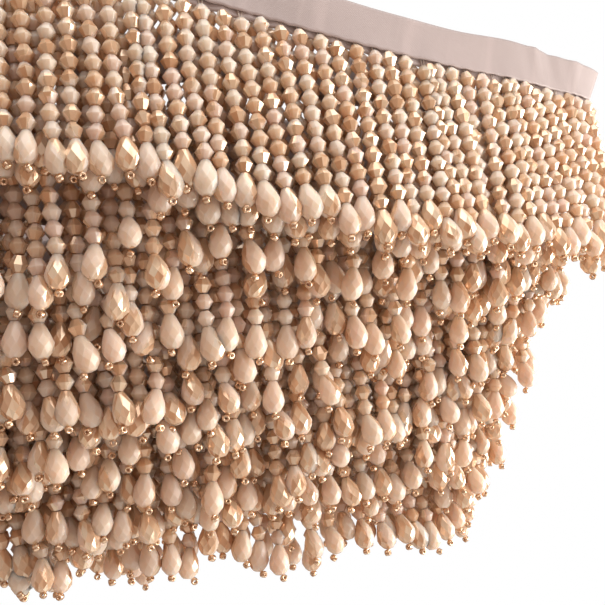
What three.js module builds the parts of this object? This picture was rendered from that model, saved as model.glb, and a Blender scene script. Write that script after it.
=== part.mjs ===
import * as THREE from 'three';

// A loose, oblong roll of beaded fringe trim, held up by its outer turn.
// Each turn hangs a little lower than the one around it. Millimetres, +Z up.
// The origin is the held point, on the top edge of the outer turn.

// Ribbon
const ribbonWidth = 10;
const ribbonThickness = 1.2;
const longestStep = 14;
const sharpestBend = THREE.MathUtils.degToRad(13);
const freeEndLength = 33;
const freeEndSlant = 4;

// Winding
const turns = 7.5;
const dropPerTurn = 10.7;
const firstDropTurn = 0.35;
const innermostScale = 0.12;
const coreCentre = 13;
const coreReach = 60;
const coreSpread = 75;
const coreForward = 12;
const finestStep = 0.0005;
const tangentStep = 0.002;

// The left side of the outer turns is pulled up to the held point.
const heldRise = 26;
const riseStart = 0.03;
const riseTop = 0.27;
const fallStart = 0.30;
const fallEnd = 0.62;
const riseFading = 1.1;

// The left side of the innermost turns leans on the turns around it.
const innerRise = 14;
const innerRiseStart = 4;
const innerRiseFull = 6;
const innerRisePlace = 0.36;
const innerRiseSpread = 0.25;

// Plan of the outer turn, from the front's right corner round by the left.
const outerPlan = [
  { place: 'front right', x: 70, y: -77 },
  { place: 'front', x: 0, y: -76 },
  { place: 'front left', x: -68, y: -57 },
  { place: 'left end', x: -118, y: -5 },
  { place: 'back left', x: -62, y: 60 },
  { place: 'back', x: 10, y: 68 },
  { place: 'back right', x: 78, y: 42 },
  { place: 'right end', x: 106, y: -12 },
  { place: 'right corner', x: 100, y: -60 },
];

// Fringe
const gap = 0.3;
const stripHeight = 1.9;
const strandPitch = 13;
const strandHalfWidth = 1.6;

// A strand from the first bead down, measured below the ribbon's edge.
const strandProfile = [
  { place: 'first bead', down: 3, half: strandHalfWidth },
  { place: 'last bead', down: 36.4, half: strandHalfWidth },
  { place: 'belly of the drop', down: 41.2, half: 2.4 },
  { place: 'stopper bead', down: 46, half: 0.7 },
];

// Panels of fringe: where each starts, as a share of a turn.
const widePanels = [
  { name: 'front', from: 0 },
  { name: 'front_left', from: 0.222 },
  { name: 'back_left', from: 0.333 },
  { name: 'back', from: 0.444 },
  { name: 'back_right', from: 0.667 },
  { name: 'right_corner', from: 0.79 },
];
const narrowPanels = [
  { name: 'front', from: 0 },
  { name: 'left', from: 0.222 },
  { name: 'back', from: 0.444 },
  { name: 'right', from: 0.69 },
];
const wideTurns = 5;

const planCurve = new THREE.CatmullRomCurve3(
  outerPlan.map(({ x, y }) => new THREE.Vector3(x, y, 0)),
  true,
  'catmullrom',
  0.5,
);

function smooth(low, high, value) {
  const share = Math.min(1, Math.max(0, (value - low) / (high - low)));
  return share * share * (3 - 2 * share);
}

// A point of the ribbon's lower edge after so many turns from the front's
// right corner. Below zero it runs out straight along the free end.
function edgePoint(turn) {
  if (turn < 0) {
    const corner = planCurve.getPoint(0);
    const outward = corner.clone().sub(planCurve.getPoint(tangentStep)).normalize();
    return corner.addScaledVector(outward, -turn * freeEndLength);
  }
  const whole = Math.floor(turn);
  const share = turn - whole;
  const outer = planCurve.getPoint(share);
  const coreX = coreCentre + coreReach * Math.tanh((outer.x - coreCentre) / coreSpread);
  const scale = 1 - (1 - innermostScale) * (turn / turns);
  const lift = smooth(riseStart, riseTop, share) - smooth(fallStart, fallEnd, share);
  const rise = heldRise * lift * Math.exp(-riseFading * whole);
  const fall = dropPerTurn * Math.max(0, turn - firstDropTurn);
  return new THREE.Vector3(
    coreX + scale * (outer.x - coreX),
    scale * (outer.y + coreForward) - coreForward,
    rise + innerLift(turn) - fall,
  );
}

// How far the innermost turns are raised, most of all at their left side.
function innerLift(turn) {
  const beside = THREE.MathUtils.euclideanModulo(turn - innerRisePlace + 0.5, 1) - 0.5;
  const grown = smooth(innerRiseStart, innerRiseFull, turn);
  return innerRise * grown * Math.exp(-((beside / innerRiseSpread) ** 2));
}

function heading(from, to) {
  return Math.atan2(to.y - from.y, to.x - from.x);
}

// Stations along the ribbon, closer where it bends more. The free end is
// one straight step.
function layStations() {
  const laid = [{ point: edgePoint(-1), along: 0, turn: -1 }];
  laid.push({ point: edgePoint(0), along: freeEndLength, turn: 0 });
  let walked = freeEndLength;
  let last = edgePoint(0);
  let lastHeading = heading(edgePoint(-1), last);
  for (let turn = finestStep; turn <= turns; turn += finestStep) {
    const point = edgePoint(turn);
    walked += point.distanceTo(last);
    const headingHere = heading(last, point);
    const bend = Math.abs(Math.sin(headingHere - lastHeading));
    last = point;
    const step = walked - laid[laid.length - 1].along;
    if (step >= longestStep || bend >= Math.sin(sharpestBend)) {
      laid.push({ point, along: walked, turn });
      lastHeading = headingHere;
    }
  }
  return laid;
}

const stations = layStations();
const ribbonLength = stations[stations.length - 1].along;
const heldPoint = edgePoint((riseTop + fallStart) / 2);
heldPoint.z += ribbonWidth;

// The level direction from one point to another, and the one square to it.
function directions(from, to) {
  const forward = to.clone().sub(from).setZ(0).normalize();
  return { forward, side: new THREE.Vector3(-forward.y, forward.x, 0) };
}

// The two stations on either side of a value of one of their measures.
function bracket(measure, value) {
  let index = 1;
  while (index < stations.length - 1 && stations[index][measure] < value) {
    index += 1;
  }
  const before = stations[index - 1];
  const after = stations[index];
  const share = (value - before[measure]) / (after[measure] - before[measure]);
  return { before, after, share };
}

// The lower edge's point and directions at a length along the ribbon.
function edgeAt(along) {
  const { before, after, share } = bracket('along', along);
  const point = before.point.clone().lerp(after.point, share);
  return { point, ...directions(before.point, after.point) };
}

function alongAtTurn(turn) {
  const { before, after, share } = bracket('turn', turn);
  return THREE.MathUtils.lerp(before.along, after.along, share);
}

// The sideways direction at a station, halfway between its two chords.
function sideAtStation(index) {
  const before = stations[Math.max(0, index - 1)].point;
  const after = stations[Math.min(stations.length - 1, index + 1)].point;
  return directions(before, after).side;
}

// A closed skin laid up from rings of four corners.
class Skin {
  positions = [];

  indices = [];

  addRing(corners) {
    const first = this.positions.length / 3;
    for (const { x, y, z } of corners) {
      this.positions.push(x, y, z);
    }
    return [first, first + 1, first + 2, first + 3];
  }

  addFace(a, b, c, d) {
    this.indices.push(a, b, c, a, c, d);
  }

  join(ring, next, firstSide = 0) {
    for (let side = firstSide; side < 4; side += 1) {
      const beside = (side + 1) % 4;
      this.addFace(ring[side], ring[beside], next[beside], next[side]);
    }
  }

  closeStart([a, b, c, d]) {
    this.addFace(d, c, b, a);
  }

  closeEnd([a, b, c, d]) {
    this.addFace(a, b, c, d);
  }

  toGeometry() {
    const geometry = new THREE.BufferGeometry();
    geometry.setAttribute('position', new THREE.Float32BufferAttribute(this.positions, 3));
    geometry.setIndex(this.indices);
    geometry.computeVertexNormals();
    return geometry;
  }
}

// Four corners of the band's section: the lower edge inside and outside,
// then the upper edge outside and inside.
function bandCorners(point, side, low, high) {
  const out = side.clone().multiplyScalar(ribbonThickness / 2);
  const bottom = point.clone().setZ(point.z + low);
  const top = point.clone().setZ(point.z + high);
  return [
    bottom.clone().sub(out),
    bottom.clone().add(out),
    top.clone().add(out),
    top.clone().sub(out),
  ];
}

// The face ribbon, with its free end cut on a slant.
function makeRibbon() {
  const sections = stations.map(({ point }, index) =>
    bandCorners(point, sideAtStation(index), 0, ribbonWidth));
  const straight = edgeAt(freeEndLength / 2);
  sections[0] = bandCorners(stations[0].point, straight.side, 0, ribbonWidth);
  sections[1] = bandCorners(stations[1].point, straight.side, 0, ribbonWidth);
  for (const corner of sections[0].slice(2)) {
    corner.addScaledVector(straight.forward, -freeEndSlant);
  }
  const skin = new Skin();
  const rings = sections.map((corners) => skin.addRing(corners));
  for (let index = 1; index < rings.length; index += 1) {
    skin.join(rings[index - 1], rings[index]);
  }
  skin.closeStart(rings[0]);
  skin.closeEnd(rings[rings.length - 1]);
  return skin.toGeometry();
}

// A section of the backing strip, just under the face ribbon's edge.
function addStripRing(skin, along) {
  const { point, side } = edgeAt(along);
  return skin.addRing(bandCorners(point, side, -gap - stripHeight, -gap));
}

// The skin of one strand: a square column of beads that swells to the drop
// at its foot. It grows out of the strip's underside.
function addStrand(skin, along, root) {
  const { point, forward, side } = edgeAt(along);
  let above = root;
  for (const { down, half } of strandProfile) {
    const corners = [[-1, -1], [-1, 1], [1, 1], [1, -1]].map(([ahead, aside]) =>
      point.clone()
        .setZ(point.z - down)
        .addScaledVector(forward, ahead * half)
        .addScaledVector(side, aside * half));
    const ring = skin.addRing(corners);
    skin.join(above, ring);
    above = ring;
  }
  skin.closeEnd(above);
}

// One panel: a strip of backing ribbon with the strands that hang from it.
function makePanel(from, to) {
  const skin = new Skin();
  const count = Math.max(1, Math.round((to - from) / strandPitch));
  let before = addStripRing(skin, from + gap);
  skin.closeStart(before);
  for (let strand = 0; strand < count; strand += 1) {
    const along = from + ((strand + 0.5) * (to - from)) / count;
    const near = addStripRing(skin, along - strandHalfWidth);
    const far = addStripRing(skin, along + strandHalfWidth);
    skin.join(before, near);
    skin.join(near, far, 1);
    addStrand(skin, along, [near[0], near[1], far[1], far[0]]);
    before = far;
  }
  const end = addStripRing(skin, to - gap);
  skin.join(before, end);
  skin.closeEnd(end);
  return skin.toGeometry();
}

// Start and end of every panel, as lengths along the ribbon.
function layPanels() {
  const panels = [];
  for (let turn = 0; turn < turns; turn += 1) {
    for (const { name, from } of turn < wideTurns ? widePanels : narrowPanels) {
      if (turn + from < turns) {
        panels.push({ name: `fringe_${turn + 1}_${name}`, from: alongAtTurn(turn + from) });
      }
    }
  }
  panels[0].from = 0;
  return panels.map((panel, index) => ({
    ...panel,
    to: index + 1 < panels.length ? panels[index + 1].from : ribbonLength,
  }));
}

const ribbonMaterial = { color: 0xdccbc6, roughness: 0.55, metalness: 0 };
const beadMaterial = { color: 0xcfb39a, roughness: 0.25, metalness: 0.1 };

function makeMesh(name, geometry, finish) {
  const mesh = new THREE.Mesh(geometry, new THREE.MeshStandardMaterial(finish));
  mesh.name = name;
  return mesh;
}

const group = new THREE.Group();
group.position.copy(heldPoint).negate();
group.add(makeMesh('ribbon', makeRibbon(), ribbonMaterial));
for (const { name, from, to } of layPanels()) {
  group.add(makeMesh(name, makePanel(from, to), beadMaterial));
}

export default group;
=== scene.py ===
"""A loose, oblong roll of beaded fringe trim, held up by its outer turn.

Metres, +Z up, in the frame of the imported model. The origin is the held point.
"""

import math

import bpy
import numpy as np
from bpy.props import FloatProperty, FloatVectorProperty, IntProperty, PointerProperty
from mathutils import Matrix, Vector


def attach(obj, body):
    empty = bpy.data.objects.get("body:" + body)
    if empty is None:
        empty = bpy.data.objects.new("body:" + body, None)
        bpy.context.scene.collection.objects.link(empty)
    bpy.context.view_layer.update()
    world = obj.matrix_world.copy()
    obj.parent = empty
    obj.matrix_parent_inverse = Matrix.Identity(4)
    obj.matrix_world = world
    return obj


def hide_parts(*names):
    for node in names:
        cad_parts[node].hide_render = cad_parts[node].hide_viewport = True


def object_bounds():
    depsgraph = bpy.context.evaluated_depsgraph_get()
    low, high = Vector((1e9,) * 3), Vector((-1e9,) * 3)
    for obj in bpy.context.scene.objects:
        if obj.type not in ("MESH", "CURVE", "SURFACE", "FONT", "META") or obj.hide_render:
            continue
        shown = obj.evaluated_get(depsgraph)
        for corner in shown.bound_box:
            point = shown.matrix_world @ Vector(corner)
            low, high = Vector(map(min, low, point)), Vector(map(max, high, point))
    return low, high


bl_info = {
    "name": "Beaded fringe trim",
    "version": (1, 0, 0),
    "blender": (4, 5, 0),
    "location": "View3D > Sidebar > Fringe",
    "description": "Builds a loose roll of satin ribbon with a fringe of faceted glass beads",
    "category": "Add Mesh",
}

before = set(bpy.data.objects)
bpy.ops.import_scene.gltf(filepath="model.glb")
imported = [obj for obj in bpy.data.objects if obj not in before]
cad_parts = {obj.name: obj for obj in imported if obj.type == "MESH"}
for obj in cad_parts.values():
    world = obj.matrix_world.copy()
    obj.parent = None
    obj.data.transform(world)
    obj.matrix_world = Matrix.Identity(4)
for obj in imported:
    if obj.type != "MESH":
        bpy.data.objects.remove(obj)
CAD_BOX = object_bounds()
SEED = 41
FULL_TURN = 2 * math.pi

# Winding of the ribbon's lower edge, as in the solids.
TURNS = 7.5
DROP_PER_TURN = 0.0107
FIRST_DROP_TURN = 0.35
INNERMOST_SCALE = 0.12
CORE_CENTRE = 0.013
CORE_REACH = 0.060
CORE_SPREAD = 0.075
CORE_FORWARD = 0.012
TURN_STEP = 0.0005
INNER_ROOM = 0.012

# The free end runs straight on from the winding's first few steps.
FREE_END_LENGTH = 0.033
FREE_END_SLANT = 0.004
FREE_END_STEPS = 60
FREE_END_AIM = 4

# The left side of the outer turns is pulled up to the held point.
HELD_RISE = 0.026
RISE_START, RISE_TOP = 0.03, 0.27
FALL_START, FALL_END = 0.30, 0.62
RISE_FADING = 1.1

# The left side of the innermost turns leans on the turns around it.
INNER_RISE = 0.014
INNER_RISE_START, INNER_RISE_FULL = 4.0, 6.0
INNER_RISE_PLACE, INNER_RISE_SPREAD = 0.36, 0.25

# The turns under the first roll gently up and down. A wave is 2 pi times its part of a turn.
ROLLING = 0.0014
ROLLING_PARTS = (0.0127, 0.0211, 0.0433)
ROLLING_START, ROLLING_FULL = 0.6, 1.2

# Plan of the outer turn, from the front's right corner round by the left.
OUTER_PLAN = {
    "front right": (0.070, -0.077),
    "front": (0.000, -0.076),
    "front left": (-0.068, -0.057),
    "left end": (-0.118, -0.005),
    "back left": (-0.062, 0.060),
    "back": (0.010, 0.068),
    "back right": (0.078, 0.042),
    "right end": (0.106, -0.012),
    "right corner": (0.100, -0.060),
}

DOWN = np.array([0.0, 0.0, -1.0])


class TrimSizes(bpy.types.PropertyGroup):
    """Sizes of the ribbons, beads and thread."""

    ribbon_width: FloatProperty(
        name="Ribbon width", description="Height of the face ribbon", default=0.010, unit="LENGTH")
    ribbon_gauge: FloatProperty(
        name="Ribbon gauge", description="Thickness of one ribbon", default=0.0003, unit="LENGTH")
    ribbon_parting: FloatProperty(
        name="Ribbon parting", description="From the middle of the trim to either ribbon",
        default=0.00045, unit="LENGTH")
    backing_overhang: FloatProperty(
        name="Backing overhang", description="How far the backing shows under the face ribbon",
        default=0.0018, unit="LENGTH")
    strand_pitch: FloatProperty(
        name="Strand pitch", description="From one strand to the next, in the middle turns",
        default=0.0039, unit="LENGTH")
    first_bead_down: FloatProperty(
        name="First bead", description="Least distance from the ribbon's edge to the first bead",
        default=0.0003, unit="LENGTH")
    beads_in_strand: IntProperty(
        name="Beads in a strand", description="Small beads above a drop, where the strand has no slack",
        default=10)
    bead_width: FloatProperty(
        name="Bead width", description="Across a small bead's girdle", default=0.0041, unit="LENGTH")
    bead_pitch: FloatProperty(
        name="Bead pitch", description="From one small bead to the next, where they touch",
        default=0.00355, unit="LENGTH")
    drop_width: FloatProperty(
        name="Drop width", description="Across the drop's belly", default=0.0053, unit="LENGTH")
    drop_height: FloatProperty(
        name="Drop height", description="From the drop's neck to its foot",
        default=0.0073, unit="LENGTH")
    stopper_width: FloatProperty(
        name="Stopper width", description="Across the stopper bead", default=0.0017, unit="LENGTH")
    thread_gauge: FloatProperty(
        name="Thread gauge", description="Thickness of one thread", default=0.0003, unit="LENGTH")


class TrimColours(bpy.types.PropertyGroup):
    """Colours of the ribbons, beads and thread."""

    ribbon: FloatVectorProperty(
        name="Ribbon", description="Satin of both ribbons", subtype="COLOR",
        default=(0.46, 0.38, 0.365))
    milky_cream: FloatVectorProperty(
        name="Milky cream", description="Uncoated glass, at its lightest", subtype="COLOR",
        default=(0.77, 0.61, 0.495))
    milky_rose: FloatVectorProperty(
        name="Milky rose", description="Uncoated glass, at its pinkest", subtype="COLOR",
        default=(0.68, 0.475, 0.39))
    milky_tan: FloatVectorProperty(
        name="Milky tan", description="Uncoated glass, at its darkest", subtype="COLOR",
        default=(0.60, 0.38, 0.24))
    lustre_champagne: FloatVectorProperty(
        name="Champagne lustre", description="Coated facets, at their lightest",
        subtype="COLOR", default=(0.84, 0.65, 0.47))
    lustre_peach: FloatVectorProperty(
        name="Peach lustre", description="Coated facets, at their warmest",
        subtype="COLOR", default=(0.81, 0.56, 0.38))
    lustre_gold: FloatVectorProperty(
        name="Gold lustre", description="Coated facets, at their deepest",
        subtype="COLOR", default=(0.69, 0.42, 0.25))
    stopper: FloatVectorProperty(
        name="Stopper", description="Metallic stopper beads", subtype="COLOR",
        default=(0.90, 0.66, 0.46))
    thread: FloatVectorProperty(
        name="Thread", description="Beading thread", subtype="COLOR",
        default=(0.74, 0.66, 0.58))


class StudioSettings(bpy.types.PropertyGroup):
    """Floor, light and camera."""

    floor_drop: FloatProperty(
        name="Floor drop", description="From the lowest point of the solids down to the floor",
        default=0.80, unit="LENGTH")
    floor_radius: FloatProperty(
        name="Floor radius", description="Half the width of the round floor",
        default=1.1, unit="LENGTH")
    floor_colour: FloatVectorProperty(
        name="Floor", description="Colour of the floor", subtype="COLOR",
        default=(0.80, 0.79, 0.77))
    key_power: FloatProperty(
        name="Key light", description="Power of the light above the front, in watts", default=4.2)
    fill_power: FloatProperty(
        name="Fill light", description="Power of the light from the right, in watts", default=14.0)
    lens: FloatProperty(
        name="Lens", description="Focal length in millimetres, on a 36 mm sensor", default=47.0)


# The winding


def smooth(low, high, value):
    share = np.clip((value - low) / (high - low), 0.0, 1.0)
    return share * share * (3 - 2 * share)


def hump(distance, spread):
    """One at no distance, falling to nothing over a few times the spread."""
    return np.exp(-((distance / spread) ** 2))


def turn_from(turn, place):
    """How far round from a place on its turn each point lies, half a turn at most."""
    return np.mod(turn - place + 0.5, 1.0) - 0.5


def unit(vectors):
    return vectors / np.linalg.norm(vectors, axis=-1, keepdims=True)


def plan_points(share):
    """Points of the outer turn's plan: a closed Catmull-Rom curve."""
    corners = np.array(list(OUTER_PLAN.values()))
    count = len(corners)
    place = np.mod(share, 1.0) * count
    index = np.floor(place).astype(int)
    w = (place - index)[:, None]
    before, here, after, beyond = (corners[(index + k) % count] for k in (-1, 0, 1, 2))
    return 0.5 * (
        2 * here
        + (after - before) * w
        + (2 * before - 5 * here + 4 * after - beyond) * w**2
        + (3 * here - before - 3 * after + beyond) * w**3
    )


def edge_points(turn):
    """Points of the ribbon's lower edge after so many turns, free end excluded."""
    whole = np.floor(turn)
    share = turn - whole
    outer = plan_points(share)
    core_x = CORE_CENTRE + CORE_REACH * np.tanh((outer[:, 0] - CORE_CENTRE) / CORE_SPREAD)
    scale = 1 - (1 - INNERMOST_SCALE) * (turn / TURNS)
    lift = smooth(RISE_START, RISE_TOP, share) - smooth(FALL_START, FALL_END, share)
    rise = HELD_RISE * lift * np.exp(-RISE_FADING * whole)
    rise += (INNER_RISE * smooth(INNER_RISE_START, INNER_RISE_FULL, turn)
             * hump(turn_from(turn, INNER_RISE_PLACE), INNER_RISE_SPREAD))
    rise += (ROLLING * smooth(ROLLING_START, ROLLING_FULL, turn)
             * sum(np.sin(turn / part) for part in ROLLING_PARTS))
    fall = DROP_PER_TURN * np.maximum(0, turn - FIRST_DROP_TURN)
    return np.stack([core_x + scale * (outer[:, 0] - core_x),
                     scale * (outer[:, 1] + CORE_FORWARD) - CORE_FORWARD, rise - fall], axis=1)


class Winding:
    """The ribbon's lower edge, by the length along it from the free end."""

    def __init__(self, ribbon_width):
        turn = np.arange(0.0, TURNS, TURN_STEP)
        wound = edge_points(turn)
        outward = unit(wound[0] - wound[FREE_END_AIM])
        outward[2] = 0.0
        out = np.linspace(1.0, 0.0, FREE_END_STEPS, endpoint=False)[:, None]
        straight = wound[0] + out * FREE_END_LENGTH * outward
        self.held = edge_points(np.array([(RISE_TOP + FALL_START) / 2]))[0]
        self.held[2] += ribbon_width
        self.points = np.concatenate([straight, wound]) - self.held
        self.turn = np.concatenate([-out[:, 0], turn])
        steps = np.linalg.norm(np.diff(self.points, axis=0), axis=1)
        self.along = np.concatenate([[0.0], np.cumsum(steps)])
        self.length = float(self.along[-1])
        level = np.gradient(self.points, axis=0)
        level[:, 2] = 0.0
        self.forward = unit(level)

    def _mix(self, along, values):
        return np.stack([np.interp(along, self.along, column) for column in values.T], axis=1)

    def point(self, along):
        return self._mix(along, self.points)

    def directions(self, along):
        """Level directions along the ribbon and square to it, outwards."""
        forward = unit(self._mix(along, self.forward))
        side = np.stack([-forward[:, 1], forward[:, 0], np.zeros(len(along))], axis=1)
        return forward, side

    def turn_at(self, along):
        return np.interp(along, self.along, self.turn)

    def room_inside(self, along):
        """Distance in plan to the next turn in."""
        turn = np.maximum(self.turn_at(along), 0.0)
        inner = edge_points(np.minimum(turn + 1, TURNS - TURN_STEP)) - self.held
        _, side = self.directions(along)
        reach = np.einsum("ij,ij->i", (self.point(along) - inner) * [1, 1, 0], side)
        return np.where(turn + 1 < TURNS, np.abs(reach), INNER_ROOM)


# Meshes from arrays


class Template:
    """A bead's points and faces, to be copied many times."""

    def __init__(self, points, faces):
        self.points = np.array(points, float)
        self.loops = np.array([corner for face in faces for corner in face])
        self.sizes = np.array([len(face) for face in faces])


class Bundle:
    """Points and faces, gathered into the arrays of one mesh."""

    def __init__(self):
        self.points = []
        self.loops = []
        self.sizes = []
        self.flat = []
        self.values = {}
        self.count = 0

    def add(self, points, loops, sizes, flat=True, values=None):
        """values holds a number for each point or face, under its domain and name."""
        self.points.append(points)
        self.loops.append(loops + self.count)
        self.sizes.append(sizes)
        self.flat.append(np.broadcast_to(flat, len(sizes)))
        for key, value in (values or {}).items():
            self.values.setdefault(key, []).append(value)
        self.count += len(points)

    def add_like(self, template, points, flat, values=None):
        """Adds the template's faces once for each row of points."""
        count, per = points.shape[:2]
        loops = (template.loops[None, :] + per * np.arange(count)[:, None]).ravel()
        self.add(points.reshape(-1, 3), loops, np.tile(template.sizes, count), flat, values)

    def to_object(self, name, material):
        mesh = bpy.data.meshes.new(name)
        points = np.concatenate(self.points)
        loops = np.concatenate(self.loops).astype(np.int32)
        sizes = np.concatenate(self.sizes).astype(np.int32)
        mesh.vertices.add(len(points))
        mesh.vertices.foreach_set("co", points.astype(np.float32).ravel())
        mesh.loops.add(len(loops))
        mesh.loops.foreach_set("vertex_index", loops)
        mesh.polygons.add(len(sizes))
        starts = np.concatenate([[0], np.cumsum(sizes)[:-1]]).astype(np.int32)
        mesh.polygons.foreach_set("loop_start", starts)
        mesh.update(calc_edges=True)
        mesh.polygons.foreach_set("use_smooth", ~np.concatenate(self.flat))
        for (domain, key), values in self.values.items():
            layer = mesh.attributes.new(key, "FLOAT", domain)
            layer.data.foreach_set("value", np.concatenate(values).astype(np.float32))
        mesh.validate()
        mesh.materials.append(material)
        made = bpy.data.objects.new(name, mesh)
        bpy.context.scene.collection.objects.link(made)
        return made


def ring(radius, height, sides, phase=0.0):
    angles = FULL_TURN * (np.arange(sides) + phase) / sides
    return [(radius * math.cos(a), radius * math.sin(a), height) for a in angles]


def band(upper, lower, sides):
    """Four-sided faces between two rings, given by their first corners."""
    return [(upper + k, lower + k, lower + (k + 1) % sides, upper + (k + 1) % sides)
            for k in range(sides)]


def caps(lowest, sides):
    """Faces over the first ring of a stack and under its lowest."""
    return [tuple(range(sides)), tuple(reversed(range(lowest, lowest + sides)))]


BEAD_SIDES = 8
BEAD_NECK = 0.50
BEAD_PLAY = 0.00004


def bead_template(width, pitch):
    """A bicone: two rows of facets that meet at a sharp girdle."""
    half = pitch / 2 - BEAD_PLAY
    neck = BEAD_NECK * width / 2
    points = ring(neck, half, BEAD_SIDES)
    points += ring(width / 2, 0.0, BEAD_SIDES)
    points += ring(neck, -half, BEAD_SIDES)
    faces = band(0, BEAD_SIDES, BEAD_SIDES)
    faces += band(BEAD_SIDES, 2 * BEAD_SIDES, BEAD_SIDES)
    return Template(points, faces + caps(2 * BEAD_SIDES, BEAD_SIDES))


DROP_SIDES = 8

# Rows of corners down the drop: how far down, as a share of its height, and how far out.
DROP_PROFILE = {
    "neck": (0.00, 0.36),
    "tops of the long kites": (0.12, 0.53),
    "shoulders": (0.38, 0.86),
    "belly": (0.61, 1.00),
    "under the belly": (0.78, 0.92),
    "tips of the lower kites": (0.94, 0.60),
    "foot": (1.00, 0.38),
}


def drop_template(width, height):
    """A drop cut with kites in staggered rows: long ones above, diamonds at its belly."""
    rows = [ring(out * width / 2, -down * height, DROP_SIDES, 0.5 * (k % 2))
            for k, (down, out) in enumerate(DROP_PROFILE.values())]
    points = [point for row in rows for point in row]
    faces = []
    for row in range(len(rows) - 2):
        for k in range(DROP_SIDES):
            before, after = (k - 1) % DROP_SIDES, (k + 1) % DROP_SIDES
            sides = (before, k) if row % 2 == 0 else (k, after)
            faces.append((row * DROP_SIDES + k, (row + 1) * DROP_SIDES + sides[0],
                          (row + 2) * DROP_SIDES + k, (row + 1) * DROP_SIDES + sides[1]))
    foot = (len(rows) - 1) * DROP_SIDES
    for k in range(DROP_SIDES):
        after = (k + 1) % DROP_SIDES
        faces.append((k, DROP_SIDES + k, after))
        faces.append((foot - DROP_SIDES + k, foot + k, foot + after))
    return Template(points, faces + caps(foot, DROP_SIDES))


STOPPER_SIDES = 10
STOPPER_LENGTH = 0.82

# Half of the stopper's section, from its hole outwards: how far out, and how high.
STOPPER_PROFILE = {
    "hole": (0.42, 0.90),
    "end": (0.86, 1.00),
    "side": (1.00, 0.55),
}


def stopper_template(width):
    """A short round bead with its hole, rounded at both ends."""
    radius = width / 2
    half = STOPPER_LENGTH * radius
    upper = [(out * radius, half * high) for out, high in STOPPER_PROFILE.values()]
    profile = upper + [(out, -high) for out, high in reversed(upper)]
    points = [p for out, high in profile for p in ring(out, high, STOPPER_SIDES)]
    faces = []
    for row in range(len(profile)):
        below = (row + 1) % len(profile)
        faces += band(row * STOPPER_SIDES, below * STOPPER_SIDES, STOPPER_SIDES)
    return Template(points, faces)


# An axis this near to upright takes another helper direction.
NEAR_UPRIGHT = 0.9


def frames_about(axis, spin):
    """Rotations whose third column is the axis, turned about it by the spin."""
    axis = unit(axis)
    leaning = np.abs(axis[:, [2]]) < NEAR_UPRIGHT
    first = unit(np.cross(np.where(leaning, [[0.0, 0.0, 1.0]], [[1.0, 0.0, 0.0]]), axis))
    second = np.cross(axis, first)
    cosine, sine = np.cos(spin)[:, None], np.sin(spin)[:, None]
    return np.stack(
        [cosine * first + sine * second, cosine * second - sine * first, axis], axis=2)


def add_copies(bundle, template, places, rotations, scales, flat, values=None):
    points = np.einsum("nij,vj->nvi", rotations, template.points)
    points = points * scales[:, None, None] + places[:, None, :]
    bundle.add_like(template, points, flat, values)


# Strands

FIRST_STRAND = 0.0020
END_GAP = 0.0048
CLOSER_FIRST, CLOSER_LAST = 0.57, 0.74
CLOSE_LAST = 5.5
SPACING_PLAY = 0.0005
PUSHED_SHARE = 0.47
PUSHED_SHARE_FIRST = 0.96
PUSHED_DEPTH = 0.0042
PUSHED_UNEVEN = (0.8, 1.7)
FRONT_PLAY = (-0.0006, 0.0007)
HEAD_BEHIND = 0.0020

# How much longer than its beads and drop a strand is, pushed back or in front.
PUSHED_SLACK = (0.0004, 0.0056)
FRONT_SLACK = (0.0, 0.0046)

# Share of a strand's slack that lies between its beads; the rest is above the first.
LOOSE_SHARE = 0.6
WAVE = 0.0008
HALF_WAVES = 2.2
SWAY_POWER = 1.35
AXIS_STEP = 0.001
DROP_SCALES = (0.95, 1.05)

# Drops stand astray, near the free end flare out, and then push each other apart.
ASTRAY = 0.0013
FLARE = 0.0046
FLARE_FADING = 0.020
DROP_CLEARANCE = 0.0001
UNLEVEL_SHARE, UNLEVEL_MOST = 0.18, 0.004
LEAST_ROOM = 0.0002
LEAST_DISTANCE = 1e-6
FURTHEST_OUT = 0.0014
RELAX_ROUNDS = 90
NEIGHBOURS = (1, 2, 3)
PUSH_SHARE = 0.24
RETURN_ALONG, RETURN_OUT = 0.01, 0.03

# The turns under the first hang in more disorder.
DISORDER_START, DISORDER_FULL = 0.7, 1.3
UNEVEN_HANG = 0.0042
UNEVEN_LENGTHS = (0.007, 0.013, 0.027)
UNEVEN_WAVES = 0.25
UNEVEN_PLAY = (-1.3, 0.7)
EVENER_LAST = 0.60
EVENER_START, EVENER_FULL = 5.0, 6.4
LOOSE_DEPTH = 0.0022

# At the right corner the middle turns lean inwards, and the innermost ones spread outwards.
SPREAD_PER_TURN = 0.0035
SPREAD_START = 4.3
SPREAD_LEAST, SPREAD_MOST = -0.0090, 0.0045
SPREAD_FROM, SPREAD_FULL = 0.5, 0.9
SPREAD_REACH = 0.11


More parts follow.
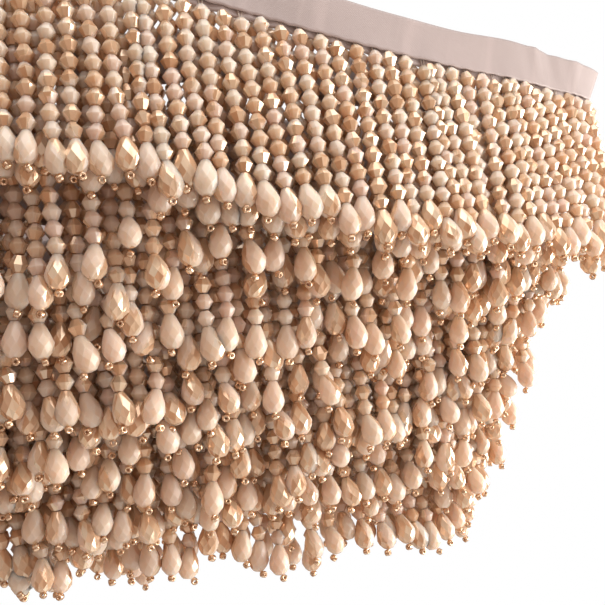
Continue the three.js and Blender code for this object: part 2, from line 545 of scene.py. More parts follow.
class Strands:
    """Where every strand hangs: its head, its sway and what it is made of."""

    def __init__(self, sizes):
        rng = np.random.default_rng(SEED)
        self.sizes = sizes
        self.winding = Winding(sizes.ribbon_width)
        self.along = self._spaced(rng)
        self.count = count = len(self.along)
        self.turn = self.winding.turn_at(self.along)
        self.head = self.winding.point(self.along)
        self.forward, self.side = self.winding.directions(self.along)
        self.disorder = smooth(DISORDER_START, DISORDER_FULL, self.turn)
        self.pushed = self._choose_pushed(rng)
        self.slack = np.where(
            self.pushed, rng.uniform(*PUSHED_SLACK, count), rng.uniform(*FRONT_SLACK, count))
        self.slack += self.disorder * self._uneven_hang(rng)
        more = np.floor(self.slack / sizes.bead_pitch)
        self.beads = (sizes.beads_in_strand + more).astype(int)
        rest = self.slack - more * sizes.bead_pitch
        self.pitch = sizes.bead_pitch + LOOSE_SHARE * rest / self.beads
        self.drop_scale = rng.uniform(*DROP_SCALES, count)
        self.shift_along, self.shift_out = self._settle(rng)
        self.shift_out += self._spread()
        self.waves = rng.uniform(-WAVE, WAVE, (count, 2))
        self.wave_phase = rng.uniform(0, FULL_TURN, count)
        self.first = sizes.first_bead_down + (1 - LOOSE_SHARE) * rest
        self.beads_length = self.beads * self.pitch
        self.length = self.first + self.beads_length + sizes.drop_height
        self.head += np.where(self.pushed, -HEAD_BEHIND, 0.0)[:, None] * self.side

    def _spaced(self, rng):
        """Lengths along the ribbon at which strands hang, closer in the first and last turns."""
        winding, pitch = self.winding, self.sizes.strand_pitch
        first, last = np.interp([1.0, CLOSE_LAST], winding.turn, winding.along)
        along = np.concatenate([
            [FIRST_STRAND],
            np.arange(FIRST_STRAND + END_GAP, first, CLOSER_FIRST * pitch),
            np.arange(first, last, pitch),
            np.arange(last, winding.length - pitch / 2, CLOSER_LAST * pitch)])
        return along + rng.uniform(-SPACING_PLAY, SPACING_PLAY, len(along))

    def _choose_pushed(self, rng):
        """Strands that hang behind their neighbours, never two side by side."""
        share = PUSHED_SHARE + (PUSHED_SHARE_FIRST - PUSHED_SHARE) * (1 - self.disorder)
        pushed = rng.random(self.count) < share
        for k in range(1, self.count):
            pushed[k] = pushed[k] and not pushed[k - 1]
        return pushed

    def _uneven_hang(self, rng):
        """How much lower or higher than evenly each strand of the inner turns hangs."""
        waves = sum(np.sin(self.along / length + rng.uniform(0, FULL_TURN))
                    for length in UNEVEN_LENGTHS)
        uneven = UNEVEN_HANG * (UNEVEN_WAVES * waves + rng.uniform(*UNEVEN_PLAY, self.count))
        return uneven * (1 - EVENER_LAST * smooth(EVENER_START, EVENER_FULL, self.turn))

    def _spread(self):
        """How far strands lean outwards at the right corner of each turn, or inwards if under 0."""
        most = np.clip(SPREAD_PER_TURN * (self.turn - SPREAD_START), SPREAD_LEAST, SPREAD_MOST)
        most *= smooth(SPREAD_FROM, SPREAD_FULL, self.turn)
        return most * hump(turn_from(self.turn, 0.0), SPREAD_REACH)

    def _settle(self, rng):
        """How far drops stand aside, once neighbours have pushed each other as far as they can."""
        sizes = self.sizes
        room = np.maximum(self.winding.room_inside(self.along) - 0.5 * (
            sizes.drop_width + sizes.bead_width), LEAST_ROOM)
        depth = np.minimum(PUSHED_DEPTH, room)
        depth *= rng.uniform(*PUSHED_UNEVEN, self.count)
        out = np.where(self.pushed, -depth, rng.uniform(*FRONT_PLAY, self.count))
        out += self.disorder * np.minimum(LOOSE_DEPTH, room) * rng.uniform(-1, 1, self.count)
        along = self.along - FLARE * np.exp(-self.along / FLARE_FADING)
        along += rng.normal(0, ASTRAY, self.count)
        rest_out, rest_along = out.copy(), along.copy()
        for _ in range(RELAX_ROUNDS):
            move = np.zeros((self.count, 2))
            for step in NEIGHBOURS:
                apart = np.stack(
                    [along[step:] - along[:-step], out[step:] - out[:-step]], axis=1)
                distance = np.maximum(np.linalg.norm(apart, axis=1), LEAST_DISTANCE)
                unlevel = np.minimum(np.abs(self.slack[step:] - self.slack[:-step]), UNLEVEL_MOST)
                needed = sizes.drop_width + DROP_CLEARANCE - UNLEVEL_SHARE * unlevel
                push = (PUSH_SHARE * np.maximum(0, needed - distance) / distance)[:, None] * apart
                move[step:] += push
                move[:-step] -= push
            along += move[:, 0] + RETURN_ALONG * (rest_along - along)
            out += move[:, 1] + RETURN_OUT * (rest_out - out)
            out = np.clip(out, -room, FURTHEST_OUT)
        return along - self.along, out

    def place(self, down):
        """Points of every strand at a distance below its ribbon's edge."""
        share = down / self.length
        sway = share**SWAY_POWER
        wave = np.sin(HALF_WAVES * np.pi * share + self.wave_phase) * share
        aside = self.shift_along * sway + self.waves[:, 0] * wave
        outward = self.shift_out * sway + self.waves[:, 1] * wave
        return (self.head + aside[:, None] * self.forward
                + outward[:, None] * self.side + down[:, None] * DOWN)

    def axis(self, down):
        """Upward directions of every strand at that distance."""
        return unit(self.place(down - AXIS_STEP) - self.place(down + AXIS_STEP))


BEAD_TILT = 0.09
DROP_TILT = 0.07
BEAD_SCALES = (0.94, 1.02)

# How far past a bead's middle its coat reaches, less than 0 if it stops short.
BEAD_COAT, DROP_COAT = -0.36, -0.30
COAT_PLAY = 0.38
COAT_EDGE = 0.16
COAT_CRISP = 0.4
COAT_TURN = 0.6
COAT_FLATTENED = 0.6

# Tones of bare glass: 0 is rose, 0.5 cream, 1 tan. The drops keep near the cream.
BEAD_TONES = (0.0, 1.0)
DROP_TONES = (0.30, 0.62)


def tilted(axis, amount, rng):
    return unit(axis + amount * rng.normal(0, 1.0, axis.shape))


def coated(template, count, rng, lean, tones):
    """Which faces are crisp, and the values that colour them. The coat lies on one side."""
    turned = rng.uniform(-COAT_TURN, COAT_TURN, count)
    reach = rng.normal(lean, COAT_PLAY, count)
    toward = np.stack([np.cos(turned), np.zeros(count), np.sin(turned)], axis=1)
    spread = template.points - template.points.mean(axis=0)
    spread = unit(spread * [1.0, 1.0, COAT_FLATTENED])
    coat = smooth(-COAT_EDGE, COAT_EDGE, spread @ toward.T + reach).T
    starts = np.concatenate([[0], np.cumsum(template.sizes)[:-1]])
    on_faces = np.add.reduceat(coat[:, template.loops], starts, axis=1) / template.sizes
    tone = np.repeat(rng.uniform(*tones, count), len(template.points))
    facet = rng.random((count, len(template.sizes)))
    return (on_faces > COAT_CRISP).ravel(), {
        ("POINT", "coat"): coat.ravel(), ("POINT", "tone"): tone, ("FACE", "facet"): facet.ravel()}


def add_beads(bundle, strands, chosen, rng):
    sizes = strands.sizes
    template = bead_template(sizes.bead_width, sizes.bead_pitch)
    for bead in range(strands.beads.max()):
        down = strands.first + (bead + 0.5) * strands.pitch
        threaded = chosen & (strands.beads > bead)
        places = strands.place(down)[threaded]
        axis = tilted(strands.axis(down)[threaded], BEAD_TILT, rng)
        count = len(places)
        add_copies(bundle, template, places, frames_about(axis, rng.uniform(0, FULL_TURN, count)),
                   rng.uniform(*BEAD_SCALES, count),
                   *coated(template, count, rng, BEAD_COAT, BEAD_TONES))


def add_drops(bundle, strands, chosen, rng):
    sizes = strands.sizes
    template = drop_template(sizes.drop_width, sizes.drop_height)
    down = strands.first + strands.beads_length
    places = strands.place(down)[chosen]
    axis = strands.axis(down + sizes.drop_height / 2)[chosen]
    axis = tilted(axis, DROP_TILT * (1 + strands.disorder[chosen])[:, None], rng)
    count = len(places)
    add_copies(bundle, template, places, frames_about(axis, rng.uniform(0, FULL_TURN, count)),
               strands.drop_scale[chosen], *coated(template, count, rng, DROP_COAT, DROP_TONES))


STOPPER_SCALES = (0.92, 1.05)
STOPPER_UPTURN = 0.7
STOPPER_BELOW = 0.42


def add_stoppers(bundle, strands, rng):
    """A stopper bead under each drop, its hole turned any way but straight down."""
    sizes, count = strands.sizes, strands.count
    drop = sizes.drop_height * strands.drop_scale
    down = strands.first + strands.beads_length + drop + STOPPER_BELOW * sizes.stopper_width
    aside = rng.uniform(0, FULL_TURN, count)
    upturn = rng.uniform(-STOPPER_UPTURN, STOPPER_UPTURN, count)
    axis = np.stack([np.cos(aside), np.sin(aside), upturn], axis=1)
    add_copies(bundle, stopper_template(sizes.stopper_width), strands.place(down),
               frames_about(axis, rng.uniform(0, FULL_TURN, count)),
               rng.uniform(*STOPPER_SCALES, count), False)


THREAD_SIDES = 5
THREAD_RISE = 0.0012
THREAD_IN_BEAD = 0.0006
LEAST_DOWN = 1e-5

# How far each thread of a pair stands aside, and its share of that above and in the bead.
THREAD_ASIDE = 0.00035
THREAD_FANNED, THREAD_GATHERED = 1.6, 0.4


def add_threads(bundle, strands, aside):
    """One of each strand's two threads, from between the ribbons into its first bead."""
    stages = ((np.full(strands.count, -THREAD_RISE), THREAD_FANNED * aside),
              (strands.first * 0.5, aside),
              (strands.first + THREAD_IN_BEAD, THREAD_GATHERED * aside))
    rings = []
    for down, offset in stages:
        middle = strands.place(np.maximum(down, LEAST_DOWN)) + offset * strands.forward
        middle[:, 2] = strands.head[:, 2] - down
        for k in range(THREAD_SIDES):
            angle = FULL_TURN * k / THREAD_SIDES
            rings.append(middle + strands.sizes.thread_gauge / 2 * (
                math.cos(angle) * strands.forward + math.sin(angle) * strands.side))
    faces = band(0, THREAD_SIDES, THREAD_SIDES) + band(THREAD_SIDES, 2 * THREAD_SIDES, THREAD_SIDES)
    template = Template([], faces + caps(2 * THREAD_SIDES, THREAD_SIDES))
    bundle.add_like(template, np.stack(rings, axis=1), False)


# Materials


def solid(colour, times=1.0):
    """A colour with its alpha, made lighter or darker."""
    return (*(min(1.0, times * value) for value in colour), 1.0)


class Nodes:
    """The shader nodes of a material or the world, added one by one."""

    def __init__(self, tree):
        self.nodes = tree.nodes
        self.links = tree.links

    def node(self, kind, inputs=None, **settings):
        made = self.nodes.new("ShaderNode" + kind)
        for key, value in settings.items():
            setattr(made, key, value)
        for key, value in (inputs or {}).items():
            self.put(made.inputs[key], value)
        return made

    def put(self, socket, value):
        if isinstance(value, bpy.types.NodeSocket):
            self.links.new(value, socket)
        else:
            socket.default_value = value

    def attribute(self, name):
        return self.node("Attribute", attribute_name=name).outputs["Fac"]

    def math(self, operation, first, second=0.0, third=0.0):
        inputs = {0: first, 1: second, 2: third}
        return self.node("Math", inputs, operation=operation).outputs[0]

    def mix(self, share, first, second):
        inputs = {"Factor": share, "A": first, "B": second}
        return self.node("Mix", inputs, data_type="RGBA").outputs["Result"]

    def spread(self, value, to_low=0.0, to_high=1.0, low=0.0, high=1.0):
        """The value's range from low to high, spread over another range."""
        return self.node("MapRange", {
            "Value": value, "From Min": low, "From Max": high,
            "To Min": to_low, "To Max": to_high}).outputs["Result"]

    def noise(self, scale, detail=2.0, vector=None):
        where = vector or self.node("TexCoord").outputs["Object"]
        inputs = {"Scale": scale, "Detail": detail, "Vector": where}
        return self.node("TexNoise", inputs).outputs["Fac"]

    def ramp(self, share, colours, first=0.0, last=1.0):
        made = self.node("ValToRGB", {"Fac": share})
        elements = made.color_ramp.elements
        while len(elements) < len(colours):
            elements.new(1.0)
        for k, colour in enumerate(colours):
            elements[k].position = first + (last - first) * k / (len(colours) - 1)
            elements[k].color = solid(colour)
        return made.outputs["Color"]


class Shader(Nodes):
    """A new material's nodes, which lead to its Principled surface."""

    def __init__(self, name):
        self.material = bpy.data.materials.new(name)
        self.material.use_nodes = True
        super().__init__(self.material.node_tree)
        self.surface = self.nodes["Principled BSDF"]

    def set(self, **inputs):
        for key, value in inputs.items():
            self.put(self.surface.inputs[key.replace("_", " ")], value)

    def bump(self, height, strength, distance, **inputs):
        made = self.node("Bump", {
            "Height": height, "Strength": strength, "Distance": distance, **inputs})
        self.set(Normal=made.outputs["Normal"])

    def softened(self):
        """Two parts of the facets' own directions to one of the smoothed ones."""
        faces = self.node("NewGeometry").outputs
        both = self.node("VectorMath", {
            0: faces["True Normal"], 1: (2.0, 2.0, 2.0), 2: faces["Normal"]},
            operation="MULTIPLY_ADD").outputs["Vector"]
        return self.node("VectorMath", {0: both}, operation="NORMALIZE").outputs["Vector"]


# Glass: its worn patches and its grain, so many to the metre, and its bare and coated sides.
WORN_PATCHES, GLASS_GRAIN = 900.0, 1500.0
WORN_DEPTH = 0.5
COAT_START, COAT_FULL = 0.3, 0.7
COAT_METAL = 0.36
BARE_ROUGHNESS, COATED_ROUGHNESS = 0.42, 0.16
BARE_SCATTER, COATED_SCATTER = 0.90, 0.25


def bead_material(colours):
    """Milky glass, coated from one side with a champagne lustre."""
    shader = Shader("milky_lustre_glass")
    worn = shader.math("SUBTRACT", shader.noise(WORN_PATCHES), 0.5)
    coat = shader.math("MULTIPLY_ADD", worn, WORN_DEPTH, shader.attribute("coat"))
    coat = shader.spread(coat, low=COAT_START, high=COAT_FULL)
    glass = shader.ramp(shader.attribute("tone"), [
        colours.milky_rose, colours.milky_cream, colours.milky_tan])
    lustre = shader.ramp(shader.attribute("facet"), [
        colours.lustre_champagne, colours.lustre_peach, colours.lustre_gold,
        colours.lustre_champagne])
    shader.set(Base_Color=shader.mix(coat, glass, lustre),
               Metallic=shader.math("MULTIPLY", coat, COAT_METAL),
               Roughness=shader.spread(coat, BARE_ROUGHNESS, COATED_ROUGHNESS),
               IOR=1.6, Coat_Weight=0.40, Coat_Roughness=0.08,
               Subsurface_Weight=shader.spread(coat, BARE_SCATTER, COATED_SCATTER),
               Subsurface_Radius=(1.0, 0.78, 0.62), Subsurface_Scale=0.006)
    grain = shader.noise(GLASS_GRAIN)
    shader.bump(grain, strength=0.06, distance=0.0002, Normal=shader.softened())
    return shader.material


STOPPER_WEAR = 1400.0
STOPPER_WORN = (0.40, 0.22, 0.13)


def stopper_material(colours):
    """Gold-coloured metal, worn darker and rougher in patches."""
    shader = Shader("gold_seed_bead")
    wear = shader.noise(STOPPER_WEAR)
    shader.set(Base_Color=shader.mix(shader.spread(wear, 0.0, 0.5, low=0.35, high=0.65),
                                     solid(colours.stopper), solid(STOPPER_WORN)),
               Roughness=shader.spread(wear, 0.18, 0.36, low=0.3, high=0.7),
               Metallic=0.95)
    return shader.material


THREAD_FIBRES = 2600.0
THREAD_SHADE = (0.58, 0.50, 0.43)


def thread_material(colours):
    shader = Shader("beading_thread")
    fibres = shader.noise(THREAD_FIBRES, detail=3.0)
    shader.set(Base_Color=shader.mix(fibres, solid(colours.thread), solid(THREAD_SHADE)),
               Roughness=0.55, Sheen_Weight=0.3)
    shader.bump(fibres, strength=0.4, distance=0.0001)
    return shader.material


# Satin: a diagonal twill, a ticked strip at the upper edge, and creases on a slant, painted lighter as
# a painted sheen; painted shade darkens the backing.
TWILL_PITCH = 0.00042
TWILL_SLANT = 0.8
TWILL_DEPTH = 0.20
EDGE_TICK_PITCH = 0.0009
EDGE_TICK_DEPTH = 0.55
EDGE_START, EDGE_FULL = 0.0093, 0.0097
CREASE_SCALE = 120.0
CREASE_SLANT = 0.35
CREASE_STRETCH = 0.12
CREASE_START, CREASE_FULL = 0.52, 0.68
# Painted sheen: the creases are mixed this far towards a lighter satin colour.
CREASE_PAINTED_SHEEN_SHARE = 0.55
CLOUD_SCALE = 55.0
# The cloud tone is the satin's own random mottling; the crease tone is a painted sheen, lighter than
# the satin.
CLOUD_TONE, CREASE_PAINTED_SHEEN_TONE = 0.90, 1.22
# Dark satin colour: the weave's own twill and ticks, and also the painted shade that darkens the
# backing.
SATIN_WEAVE_AND_PAINTED_SHADE = (0.36, 0.29, 0.28)


def ribbon_material(colours, name, painted_shade):
    """Satin with a fine diagonal twill, a ticked woven edge and soft cross creases, the creases painted
    lighter as a painted sheen, and the whole darkened by the given share of painted shade.
    """
    shader = Shader(name)
    along, across = shader.attribute("along"), shader.attribute("across")
    weave_and_shade_colour = solid(SATIN_WEAVE_AND_PAINTED_SHADE)
    slant = shader.math("ADD", along, shader.math("MULTIPLY", across, TWILL_SLANT))
    twill = shader.math("SINE", shader.math("MULTIPLY", slant, FULL_TURN / TWILL_PITCH))
    ticks = shader.math("SINE", shader.math("MULTIPLY", along, FULL_TURN / EDGE_TICK_PITCH))
    edge = shader.spread(across, low=EDGE_START, high=EDGE_FULL)
    ticked = shader.math("MULTIPLY", edge, shader.spread(ticks, 0.0, EDGE_TICK_DEPTH, 0.2, 0.8))
    place = shader.node("CombineXYZ", {
        "X": shader.math("ADD", along, shader.math("MULTIPLY", across, CREASE_SLANT)),
        "Y": shader.math("MULTIPLY", across, CREASE_STRETCH)}).outputs["Vector"]
    creases = shader.noise(CREASE_SCALE, detail=3.0, vector=place)
    crease = shader.spread(creases, low=CREASE_START, high=CREASE_FULL)
    cloud = shader.spread(shader.noise(CLOUD_SCALE), low=0.35, high=0.65)
    base = shader.mix(cloud, solid(colours.ribbon), solid(colours.ribbon, CLOUD_TONE))
    # Painted sheen: the creases are mixed towards a lighter satin colour, as if light caught the folds.
    base = shader.mix(shader.math("MULTIPLY", crease, CREASE_PAINTED_SHEEN_SHARE), base,
                      solid(colours.ribbon, CREASE_PAINTED_SHEEN_TONE))
    base = shader.mix(ticked, base, weave_and_shade_colour)
    base = shader.mix(shader.spread(twill, 0.0, TWILL_DEPTH, low=-1.0), base, weave_and_shade_colour)
    # Painted shade: the whole satin is mixed towards the dark colour by the shade share, for the
    # backing behind the face ribbon.
    shader.set(Base_Color=shader.mix(painted_shade, base, weave_and_shade_colour),
               Roughness=shader.spread(twill, 0.42, 0.52, low=-1.0),
               Sheen_Weight=0.25, Sheen_Roughness=0.4)
    height = shader.math("MULTIPLY_ADD", crease, 0.6, shader.math("MULTIPLY", twill, 0.25))
    shader.bump(height, strength=0.35, distance=0.0002)
    return shader.material


def floor_material(colour):
    shader = Shader("pale_floor")
    cloud = shader.spread(shader.noise(scale=3.0), low=0.3, high=0.7)
    shader.set(Base_Color=shader.mix(cloud, solid(colour), solid(colour, 0.985)), Roughness=0.6)
    return shader.material


# Ribbons

RIBBON_STEP = 0.0015
SLANT_REACH = 0.016
FREE_END_TRIM = 0.005

# The free end curls inwards, more so at the top than at the lower edge.
CURL_LENGTH = 0.007
CURL_DEPTH = 0.0009
CURL_LOW = 0.35

# Creases across the free end: how far along, and how deep.
CREASES = ((0.0105, 0.00040), (0.0205, -0.00035), (0.0275, 0.00045))
CREASE_WIDTH = 0.0019
CREASE_LOW = 0.4

# Rows of points across each ribbon, as shares of its width or of the backing's overhang.
FACE_ROWS = (-0.02, 0.05, 0.13, 0.35, 0.65, 0.93, 1.0)
BACKING_ROWS_UNDER = (1.0, 0.6, 0.2)
BACKING_ROWS = (0.1, 0.3, 0.7, 1.0)

# Ripples: their depth and two lengths. Waves of the upper edge: their height and length.
# A sine's length is 2 pi times what is given.
FACE_RIPPLE = (0.00022, 0.0063, 0.0171)
FACE_WAVES = (0.00018, 0.0083)
BACKING_RIPPLE = (0.00016, 0.0049, 0.0143)
BACKING_WAVES = (0.00028, 0.0107)

# The face ribbon rolls about a line a little under its middle.
ROLL_DEPTH, ROLL_LENGTH, ROLL_LINE = 0.00030, 0.0118, 0.4

# Its lower edge bulges over the heads and dips between them. The backing's puckers there.
HEAD_BULGE = 0.00025
HEAD_WIDTH = 0.0013
EDGE_DIP = 0.00022
FACE_EDGE, BACKING_EDGE = 0.0022, 0.0025
BACKING_NEARER = 0.00025
BACKING_SLANT = 0.8
# Painted shade on the backing ribbon: its satin is mixed this far towards the dark satin colour.
BACKING_PAINTED_SHADE = 0.04
PUCKER = 0.00024
PUCKER_PITCH = 0.5


def near_heads(along, strands):
    """One over each front strand's head, falling to nothing between heads."""
    heads = strands.along[~strands.pushed]
    after = np.clip(np.searchsorted(heads, along), 1, len(heads) - 1)
    distance = np.minimum(np.abs(along - heads[after - 1]), np.abs(along - heads[after]))
    return hump(distance, HEAD_WIDTH)


def ripples(along, shape, phases):
    depth, first, second = shape
    return depth * np.sin(along / first + phases[0]) * np.sin(along / second + phases[1])


def edge_waves(along, shape, phase, share):
    height, length = shape
    return height * np.sin(along / length + phase) * share


def curl(along, share):
    return -CURL_DEPTH * np.clip(1 - along / CURL_LENGTH, 0, 1) ** 2 * (CURL_LOW + share)


def slant_back(along, row, width):
    """The free end is cut on a slant: its upper corner reaches furthest."""
    near = np.clip(1 - along / SLANT_REACH, 0.0, 1.0)
    return (FREE_END_TRIM - (FREE_END_SLANT + FREE_END_TRIM) * row / width) * near


def face_layer(strands):
    sizes = strands.sizes
    phases = np.random.default_rng(SEED + 1).uniform(0, FULL_TURN, 4)

    def layer(along, row):
        share = row / sizes.ribbon_width
        low = max(0.0, 1 - max(row, 0.0) / FACE_EDGE)
        heads = near_heads(along, strands)
        rolled = ROLL_DEPTH * (share - ROLL_LINE) * np.sin(along / ROLL_LENGTH + phases[2])
        out = (sizes.ribbon_parting + ripples(along, FACE_RIPPLE, phases) * (CURL_LOW + share)
               + rolled + HEAD_BULGE * low * heads + curl(along, share))
        for place, depth in CREASES:
            out += depth * (CREASE_LOW + share) * hump(along - place, CREASE_WIDTH)
        high = row + edge_waves(along, FACE_WAVES, phases[3], share)
        return out, high - EDGE_DIP * low * (1 - heads), slant_back(along, row, sizes.ribbon_width)

    return layer


def backing_layer(strands):
    sizes = strands.sizes
    phases = np.random.default_rng(SEED + 2).uniform(0, FULL_TURN, 4)
    pucker_length = sizes.strand_pitch * PUCKER_PITCH

    def layer(along, row):
        share = max(row, 0.0) / sizes.ribbon_width
        low = max(0.0, 1 - max(row, 0.0) / BACKING_EDGE)
        pucker = PUCKER * low * np.sin(FULL_TURN * along / pucker_length + phases[2])
        out = (-sizes.ribbon_parting + ripples(along, BACKING_RIPPLE, phases) + pucker
               + curl(along, share) + BACKING_NEARER * low)
        high = row + edge_waves(along, BACKING_WAVES, phases[3], share)
        return out, high, slant_back(along, row, sizes.ribbon_width) * BACKING_SLANT

    return layer


def ribbon_object(name, strands, rows, layer, material):
    """A thin closed ribbon. layer(along, row) gives how far out, high and back each row runs."""
    winding, gauge = strands.winding, strands.sizes.ribbon_gauge
    count = int(winding.length / RIBBON_STEP)
    along = np.linspace(0.0, winding.length, count)
    point = winding.point(along)
    forward, side = winding.directions(along)
    faces_out, faces_in, spots = [], [], []
    for row in rows:
        out, high, back = layer(along, row)
        spot = point + back[:, None] * forward
        spot[:, 2] += high
        faces_out.append(spot + (out + gauge / 2)[:, None] * side)
        faces_in.append(spot + (out - gauge / 2)[:, None] * side)
        spots.append(np.full(count, row))
    points = np.concatenate(faces_out + faces_in[::-1])
    across = np.concatenate(spots + spots[::-1])
    size = 2 * len(rows)
    index = np.arange(size * count).reshape(size, count)
    after = np.roll(index, -1, axis=0)
    quads = np.stack([index[:, :-1], after[:, :-1], after[:, 1:], index[:, 1:]], axis=-1)
    loops = np.concatenate([quads.reshape(-1), index[::-1, 0], index[:, -1]])
    sizes = np.concatenate([np.full(size * (count - 1), 4), [size, size]])
    bundle = Bundle()
    bundle.add(points, loops, sizes, False, {
        ("POINT", "along"): np.tile(along, size), ("POINT", "across"): across})
    return bundle.to_object(name, material)


# Studio

FLOOR_SIDES = 96
WHITE = (1.0, 1.0, 1.0, 1.0)

# Where a light stands, seen from the roll: degrees round from the front and up, and metres away.
KEY_LIGHT = {
    "azimuth": 6, "elevation": 58, "distance": 0.75, "size": (0.75, 0.70),
    "colour": (1.0, 0.985, 0.96)}
FILL_LIGHT = {
    "azimuth": 68, "elevation": -12, "distance": 0.90, "size": (0.80, 0.60),
    "colour": (1.0, 0.97, 0.93)}

# The light from all round changes its tint between two heights, 0 at the bottom and 1 at the top.
WORLD_LIGHT = 0.65
WORLD_TINTS = ((0.52, 0.24, 0.12), (1.0, 0.975, 0.945))
TINT_FIRST, TINT_LAST = 0.30, 0.80

# The photograph's camera: where it stands, and how it is turned.
CAMERA_PLACE = (0.02401, -0.18409, -0.120)
CAMERA_AZIMUTH = math.radians(29)
CAMERA_ELEVATION = math.radians(10)
CAMERA_ROLL = math.radians(7)
SENSOR_WIDTH = 36.0
NEAREST_SEEN = 0.01


def make_floor(settings, middle, lowest):
    rim = np.array(ring(settings.floor_radius, 0.0, FLOOR_SIDES))
    rim += [middle.x, middle.y, lowest - settings.floor_drop]
    floor = Bundle()
    floor.add(rim, np.arange(FLOOR_SIDES), np.array([FLOOR_SIDES]))
    floor.to_object("floor", floor_material(settings.floor_colour))


def add_light(name, target, power, azimuth, elevation, distance, size, colour):
    """A rectangular light that faces the target from a direction seen from it."""
    light = bpy.data.lights.new(name, "AREA")
    light.shape = "RECTANGLE"
    light.size, light.size_y = size
    light.energy = power
    light.color = colour
    a, e = math.radians(azimuth), math.radians(elevation)
    away = Vector((math.sin(a) * math.cos(e), -math.cos(a) * math.cos(e), math.sin(e)))
    made = bpy.data.objects.new(name, light)
    made.location = target + distance * away
    made.rotation_euler = away.to_track_quat("Z", "Y").to_euler()
    bpy.context.scene.collection.objects.link(made)


def make_world():
    """Soft light from all round, dimmer and warmer from below, on a white ground."""
    world = bpy.data.worlds.new("studio")
    world.use_nodes = True
    world.node_tree.nodes.clear()
    nodes = Nodes(world.node_tree)
    place = nodes.node("TexCoord").outputs["Generated"]
    upward = nodes.node("SeparateXYZ", {"Vector": place}).outputs["Z"]
    height = nodes.math("MULTIPLY_ADD", upward, 0.5, 0.5)
    tint = nodes.ramp(height, WORLD_TINTS, TINT_FIRST, TINT_LAST)
    soft = nodes.node("Background", {"Color": tint, "Strength": WORLD_LIGHT})
    white = nodes.node("Background", {"Color": WHITE})
    seen = nodes.node("LightPath").outputs["Is Camera Ray"]
    mix = nodes.node("MixShader", {
        "Fac": seen, 1: soft.outputs["Background"], 2: white.outputs["Background"]})
    nodes.node("OutputWorld", {"Surface": mix.outputs["Shader"]})
    bpy.context.scene.world = world


def camera_axes():
    """The camera's right, up and forward directions."""
    a, e, roll = CAMERA_AZIMUTH, CAMERA_ELEVATION, CAMERA_ROLL
    level = Vector((math.cos(a), -math.sin(a), 0.0))
    forward = Vector((math.sin(a) * math.cos(e), math.cos(a) * math.cos(e), math.sin(e)))
    rise = level.cross(forward)
    right = math.cos(roll) * level - math.sin(roll) * rise
    up = math.sin(roll) * level + math.cos(roll) * rise
    return right, up, forward


def make_camera(lens):
    camera = bpy.data.objects.new("camera", bpy.data.cameras.new("camera"))
    bpy.context.scene.collection.objects.link(camera)
    right, up, forward = camera_axes()
    turn = Matrix((right, up, -forward)).transposed().to_4x4()
    camera.matrix_world = Matrix.Translation(CAMERA_PLACE) @ turn
    camera.data.lens = lens
    camera.data.sensor_width = SENSOR_WIDTH
    camera.data.clip_start = NEAREST_SEEN
    bpy.context.scene.camera = camera


# Operators


def trim():
    """The strands, worked out from the scene's sizes, and the scene's colours."""
    return Strands(bpy.context.scene.trim_sizes), bpy.context.scene.trim_colours


def finish_piece(piece, nodes=()):
    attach(piece, "root")
    if nodes:
        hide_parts(*nodes)


def fringe_nodes(turn):
    return [name for name in sorted(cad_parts) if name.startswith(f"fringe_{turn}_")]


class TRIM_OT_face_ribbon(bpy.types.Operator):
    """Make the face ribbon, with its slanted free end"""

    bl_idname = "trim.face_ribbon"
    bl_label = "Face ribbon"

    def execute(self, context):
        strands, colours = trim()
        width = strands.sizes.ribbon_width
        made = ribbon_object("face_ribbon", strands, [width * share for share in FACE_ROWS],
                             face_layer(strands), ribbon_material(colours, "face_satin", 0.0))
        finish_piece(made, ["ribbon"])
        return {"FINISHED"}


class TRIM_OT_backing_ribbon(bpy.types.Operator):
    """Make the backing ribbon, which shows a little under the face ribbon"""

    bl_idname = "trim.backing_ribbon"
    bl_label = "Backing ribbon"

    def execute(self, context):
        strands, colours = trim()
        low, high = -strands.sizes.backing_overhang, strands.sizes.ribbon_width
        rows = [low * share for share in BACKING_ROWS_UNDER]
        rows += [high * share for share in BACKING_ROWS]
        made = ribbon_object("backing_ribbon", strands, rows, backing_layer(strands),
                             ribbon_material(colours, "backing_satin", BACKING_PAINTED_SHADE))
        finish_piece(made, ["ribbon"])
        return {"FINISHED"}


class TRIM_OT_bead_strands(bpy.types.Operator):
    """Make the strands of bicones and drops, one joined mesh for each turn"""

    bl_idname = "trim.bead_strands"
    bl_label = "Bead strands"

    def execute(self, context):
        strands, colours = trim()
        material = bead_material(colours)
        whole = np.maximum(np.floor(strands.turn), 0).astype(int)
        for turn in range(whole.max() + 1):
            rng = np.random.default_rng(SEED + 10 + turn)
            bundle = Bundle()
            add_beads(bundle, strands, whole == turn, rng)
            add_drops(bundle, strands, whole == turn, rng)
            made = bundle.to_object(f"bead_strands_{turn + 1}", material)
            finish_piece(made, fringe_nodes(turn + 1))
        return {"FINISHED"}


class TRIM_OT_stopper_beads(bpy.types.Operator):
    """Make the small metallic bead that holds each strand's drop"""

    bl_idname = "trim.stopper_beads"
    bl_label = "Stopper beads"

    def execute(self, context):
        strands, colours = trim()
        bundle = Bundle()
        add_stoppers(bundle, strands, np.random.default_rng(SEED + 3))
        finish_piece(bundle.to_object("stopper_beads", stopper_material(colours)))
        return {"FINISHED"}


class TRIM_OT_thread(bpy.types.Operator):
    """Make the double thread between the ribbons and each first bead"""

    bl_idname = "trim.thread"
    bl_label = "Thread"

    def execute(self, context):
        strands, colours = trim()
        bundle = Bundle()
        for aside in (-THREAD_ASIDE, THREAD_ASIDE):
            add_threads(bundle, strands, aside)
        finish_piece(bundle.to_object("head_threads", thread_material(colours)))
        return {"FINISHED"}


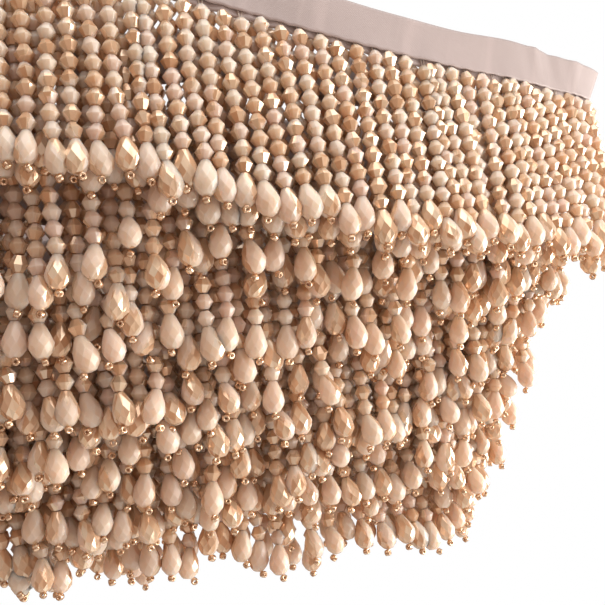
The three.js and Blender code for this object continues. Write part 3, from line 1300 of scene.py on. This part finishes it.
class TRIM_OT_studio(bpy.types.Operator):
    """Make the floor, the light and the camera"""

    bl_idname = "trim.studio"
    bl_label = "Studio"

    def execute(self, context):
        settings = context.scene.trim_studio
        low, high = (Vector(corner) for corner in CAD_BOX)
        middle = (low + high) / 2
        make_floor(settings, middle, low.z)
        add_light("key", middle, settings.key_power, **KEY_LIGHT)
        add_light("fill", middle, settings.fill_power, **FILL_LIGHT)
        make_world()
        context.scene.view_settings.view_transform = "Standard"
        make_camera(settings.lens)
        return {"FINISHED"}


class TRIM_PT_panel(bpy.types.Panel):
    """Lists the pieces of the trim"""

    bl_idname = "TRIM_PT_panel"
    bl_label = "Beaded fringe trim"
    bl_space_type = "VIEW_3D"
    bl_region_type = "UI"
    bl_category = "Fringe"

    def draw(self, context):
        for operator in OPERATORS:
            self.layout.operator(operator.bl_idname)
        for group in ("trim_sizes", "trim_colours", "trim_studio"):
            values = getattr(context.scene, group)
            box = self.layout.box()
            for name in values.__annotations__:
                box.prop(values, name)


OPERATORS = (
    TRIM_OT_studio,
    TRIM_OT_face_ribbon,
    TRIM_OT_backing_ribbon,
    TRIM_OT_thread,
    TRIM_OT_bead_strands,
    TRIM_OT_stopper_beads,
)
CLASSES = (TrimSizes, TrimColours, StudioSettings, *OPERATORS, TRIM_PT_panel)


def register():
    for cls in CLASSES:
        bpy.utils.register_class(cls)
    bpy.types.Scene.trim_sizes = PointerProperty(type=TrimSizes)
    bpy.types.Scene.trim_colours = PointerProperty(type=TrimColours)
    bpy.types.Scene.trim_studio = PointerProperty(type=StudioSettings)


def unregister():
    del bpy.types.Scene.trim_sizes
    del bpy.types.Scene.trim_colours
    del bpy.types.Scene.trim_studio
    for cls in reversed(CLASSES):
        bpy.utils.unregister_class(cls)


def main():
    register()
    bpy.ops.trim.studio()
    bpy.ops.trim.face_ribbon()
    bpy.ops.trim.backing_ribbon()
    bpy.ops.trim.thread()
    bpy.ops.trim.bead_strands()
    bpy.ops.trim.stopper_beads()


if __name__ == "__main__":
    main()
